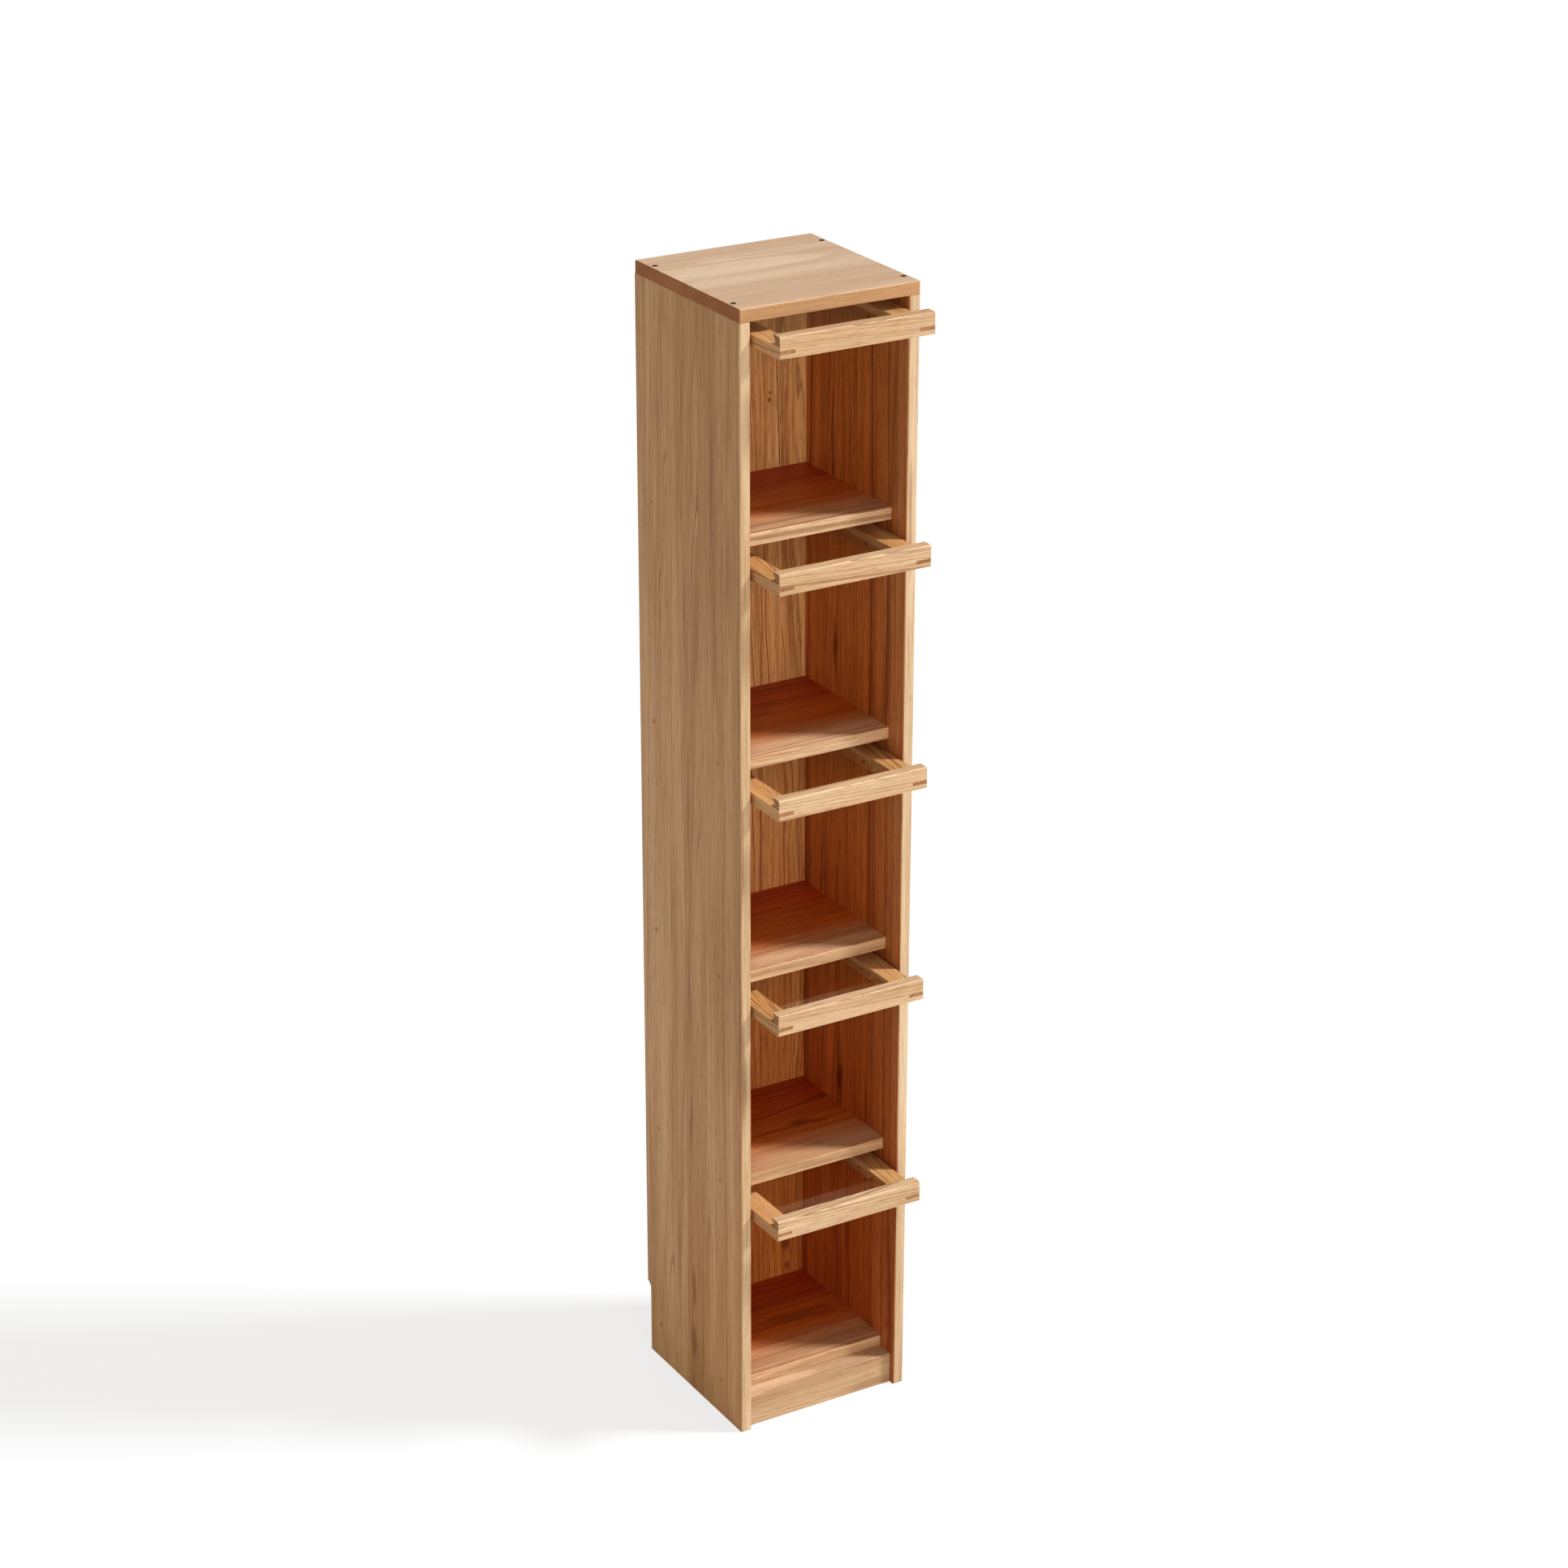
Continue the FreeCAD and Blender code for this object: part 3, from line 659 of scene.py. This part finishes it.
def makeThread(settings, start, end):
    # a notch-shaped profile wound round the axis
    core, radius, pitch = settings["shank"] * screwShape["core"], settings["shank"], settings["pitch"]
    deselectAll()
    bpy.ops.mesh.primitive_plane_add(size=1.0, location=(0, 0, 0))
    thread = bpy.context.object
    bpy.ops.object.mode_set(mode="EDIT")
    bpy.ops.mesh.delete(type="ONLY_FACE")
    bpy.ops.mesh.select_all(action="DESELECT")
    bpy.ops.object.mode_set(mode="OBJECT")
    thread.data.vertices[0].select = True
    bpy.ops.object.mode_set(mode="EDIT")
    bpy.ops.mesh.delete(type="VERT")
    bpy.ops.object.mode_set(mode="OBJECT")
    edges = thread.data.edges
    ends = [v.index for v in thread.data.vertices if sum(v.index in edge.vertices for edge in edges) == 1]
    for vertex in thread.data.vertices:
        if vertex.index not in ends:
            vertex.co = (radius, 0, end + pitch / 2)
        else:
            vertex.co = (core, 0, end + (0 if vertex.index == ends[0] else pitch))
    wind = thread.modifiers.new("wind", "SCREW")
    wind.axis, wind.angle, wind.steps, wind.render_steps = "Z", math.radians(360), 20, 20
    wind.screw_offset, wind.iterations = pitch, int((start - end) / pitch)
    wind.use_merge_vertices, wind.merge_threshold = True, 0.00001
    bpy.ops.object.modifier_apply(modifier="wind")
    return thread


def makeScrew(name, settings, reach):
    # the head's top is at the origin and the tip points down
    thick, shank = settings["thick"], settings["shank"]
    parts = [makeHead(settings)]
    tip = shank * screwShape["tip"]
    bottom = -reach + tip
    plainEnd = -thick - (reach - thick) * screwShape["plain"]
    for radius, top, low in ((shank, -thick * 0.9, plainEnd), (shank * screwShape["core"], plainEnd, bottom)):
        deselectAll()
        bpy.ops.mesh.primitive_cylinder_add(
            vertices=24, radius=radius, depth=top - low, location=(0, 0, (top + low) / 2))
        parts.append(bpy.context.object)
    deselectAll()
    bpy.ops.mesh.primitive_cone_add(
        vertices=24, radius1=screwShape["blunt"], radius2=shank * screwShape["core"],
        depth=tip, location=(0, 0, bottom - tip / 2))
    parts.append(bpy.context.object)
    parts.append(makeThread(settings, plainEnd - settings["pitch"], bottom))
    deselectAll()
    for part in parts:
        part.select_set(True)
    bpy.context.view_layer.objects.active = parts[0]
    bpy.ops.object.join()
    screw = bpy.context.object
    screw.name = screw.data.name = name
    bpy.ops.object.transform_apply(location=True, rotation=True, scale=True)
    bpy.ops.object.mode_set(mode="EDIT")
    bpy.ops.mesh.select_all(action="SELECT")
    bpy.ops.mesh.normals_make_consistent(inside=False)
    bpy.ops.object.mode_set(mode="OBJECT")
    bpy.ops.object.shade_smooth_by_angle(angle=math.radians(38))
    return screw


def looseBoxes(node):
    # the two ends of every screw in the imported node: head centre and tip
    deselectAll()
    made = nodes[node].copy()
    made.data = nodes[node].data.copy()
    made.parent = None
    bpy.context.scene.collection.objects.link(made)
    made.select_set(True)
    bpy.context.view_layer.objects.active = made
    bpy.ops.object.mode_set(mode="EDIT")
    bpy.ops.mesh.select_all(action="SELECT")
    bpy.ops.mesh.remove_doubles(threshold=joinDistance)
    bpy.ops.mesh.separate(type="LOOSE")
    bpy.ops.object.mode_set(mode="OBJECT")
    found = []
    for item in list(bpy.context.selected_objects):
        points = [item.matrix_world @ v.co for v in item.data.vertices]
        low = Vector([min(p[i] for p in points) for i in range(3)])
        high = Vector([max(p[i] for p in points) for i in range(3)])
        axis = max(range(3), key=lambda i: high[i] - low[i])
        middle = (low + high) / 2
        spread = [0.0, 0.0]
        for p in points:
            away = (p - middle)
            away[axis] = 0
            side = 0 if p[axis] < middle[axis] else 1
            spread[side] = max(spread[side], away.length)
        head, tip = middle.copy(), middle.copy()
        headSide = 0 if spread[0] > spread[1] else 1
        head[axis], tip[axis] = (low[axis], high[axis]) if headSide == 0 else (high[axis], low[axis])
        found.append((head, tip))
        bpy.data.objects.remove(item)
    return found


def buildScrews():
    sunk = screwShape["sunk"]
    for node, settings in screwSettings.items():
        places = looseBoxes(node)
        master = makeScrew(node + "_master", settings, (places[0][0] - places[0][1]).length - 2 * sunk)
        copies = []
        for i, (head, tip) in enumerate(places):
            made = master.copy()
            made.data = master.data.copy()
            bpy.context.scene.collection.objects.link(made)
            turned = (head - tip).to_track_quat("Z", "Y") @ Matrix.Rotation(0.7 * i, 3, "Z").to_quaternion()
            place = Matrix.Translation(head + (tip - head).normalized() * sunk)
            made.matrix_world = place @ turned.to_matrix().to_4x4()
            copies.append(made)
        bpy.data.objects.remove(master)
        deselectAll()
        for made in copies:
            made.select_set(True)
        bpy.context.view_layer.objects.active = copies[0]
        bpy.ops.object.join()
        piece = bpy.context.object
        piece.name = piece.data.name = node + "_steel"
        bpy.ops.object.transform_apply(location=True, rotation=True, scale=True)
        dress(piece, node, screwSteel)
        print(node, len(copies), "screws,", len(piece.data.polygons), "faces")


buildScrews()
print("fixings dressed")


# floor, light and camera
floorSettings = {"size": 80.0, "seen": (0.23, 0.25, 0.27, 1.0), "glow": 0.745, "bounce": 0.48}


def buildFloor(settings):
    deselectAll()
    bpy.ops.mesh.primitive_plane_add(size=settings["size"], location=(0, 0, 0))
    floor = bpy.context.object
    floor.name = floor.data.name = "studio_floor"
    material = bpy.data.materials.new("studioFloor")
    material.use_nodes = True
    tree = material.node_tree
    tree.nodes.clear()
    rays = addNode(tree, "ShaderNodeLightPath").outputs
    camera = calc(tree, "MAXIMUM", rays["Is Camera Ray"], rays["Is Transmission Ray"])
    bounce = (settings["bounce"],) * 3 + (1,)
    shader = addNode(tree, "ShaderNodeBsdfPrincipled", inputs={
        "Base Color": blendColour(tree, camera, bounce, settings["seen"]),
        "Roughness": 1.0, "Specular IOR Level": 0.0, "Emission Color": (1, 1, 1, 1),
        "Emission Strength": calc(tree, "MULTIPLY", camera, settings["glow"])})
    output = addNode(tree, "ShaderNodeOutputMaterial")
    tree.links.new(shader.outputs[0], output.inputs["Surface"])
    floor.data.materials.append(material)


worldSettings = {"seen": 1.0, "light": 0.44, "mirrored": 0.01, "colour": (1.0, 0.88, 0.76, 1.0)}


def buildWorld(settings):
    world = bpy.data.worlds.new("studio")
    bpy.context.scene.world = world
    world.use_nodes = True
    tree = world.node_tree
    tree.nodes.clear()
    rays = addNode(tree, "ShaderNodeLightPath").outputs
    camera = calc(tree, "MAXIMUM", rays["Is Camera Ray"], rays["Is Transmission Ray"])
    strength = mixNumber(tree, rays["Is Glossy Ray"], settings["light"], settings["mirrored"])
    strength = mixNumber(tree, camera, strength, settings["seen"])
    sky = addNode(tree, "ShaderNodeBackground", inputs={
        "Color": blendColour(tree, camera, settings["colour"], (1, 1, 1, 1)), "Strength": strength})
    output = addNode(tree, "ShaderNodeOutputWorld")
    tree.links.new(sky.outputs[0], output.inputs["Surface"])


lampSettings = {
    "key": {"azimuth": 60.0, "elevation": 47.0, "strength": 3.15, "spread": 9.0, "colour": (1.0, 0.99, 0.97)},
    "front": {"azimuth": -8.0, "elevation": 7.0, "strength": 1.45, "spread": 32.0,
              "colour": (1.0, 0.84, 0.66)},
}


def buildLamps(settings):
    for name, lamp in settings.items():
        data = bpy.data.lights.new(name + "Sun", "SUN")
        data.energy = lamp["strength"]
        data.angle = math.radians(lamp["spread"])
        data.color = lamp["colour"]
        light = bpy.data.objects.new(name + "Sun", data)
        bpy.context.scene.collection.objects.link(light)
        a, e = math.radians(lamp["azimuth"]), math.radians(lamp["elevation"])
        towards = Vector((math.sin(a) * math.cos(e), -math.cos(a) * math.cos(e), math.sin(e)))
        light.rotation_euler = towards.to_track_quat("Z", "Y").to_euler()
        light.location = towards * 6


cameraSettings = {
    "lens": 88.756, "azimuth": -30.749, "elevation": 23.007, "roll": 0.138,
    "place": (-2.7614, -4.6297, 3.3267)}


def buildCamera(settings):
    data = bpy.data.cameras.new("viewCamera")
    data.lens = settings["lens"]
    data.sensor_width = 36.0
    data.clip_end = 200.0
    camera = bpy.data.objects.new("viewCamera", data)
    bpy.context.scene.collection.objects.link(camera)
    turn = (Matrix.Rotation(math.radians(settings["azimuth"]), 4, "Z")
            @ Matrix.Rotation(math.radians(90 - settings["elevation"]), 4, "X")
            @ Matrix.Rotation(math.radians(settings["roll"]), 4, "Z"))
    camera.matrix_world = Matrix.Translation(settings["place"]) @ turn
    bpy.context.scene.camera = camera


buildFloor(floorSettings)
buildWorld(worldSettings)
buildLamps(lampSettings)
buildCamera(cameraSettings)
bpy.context.scene.view_settings.view_transform = "Standard"
print("stage ready")
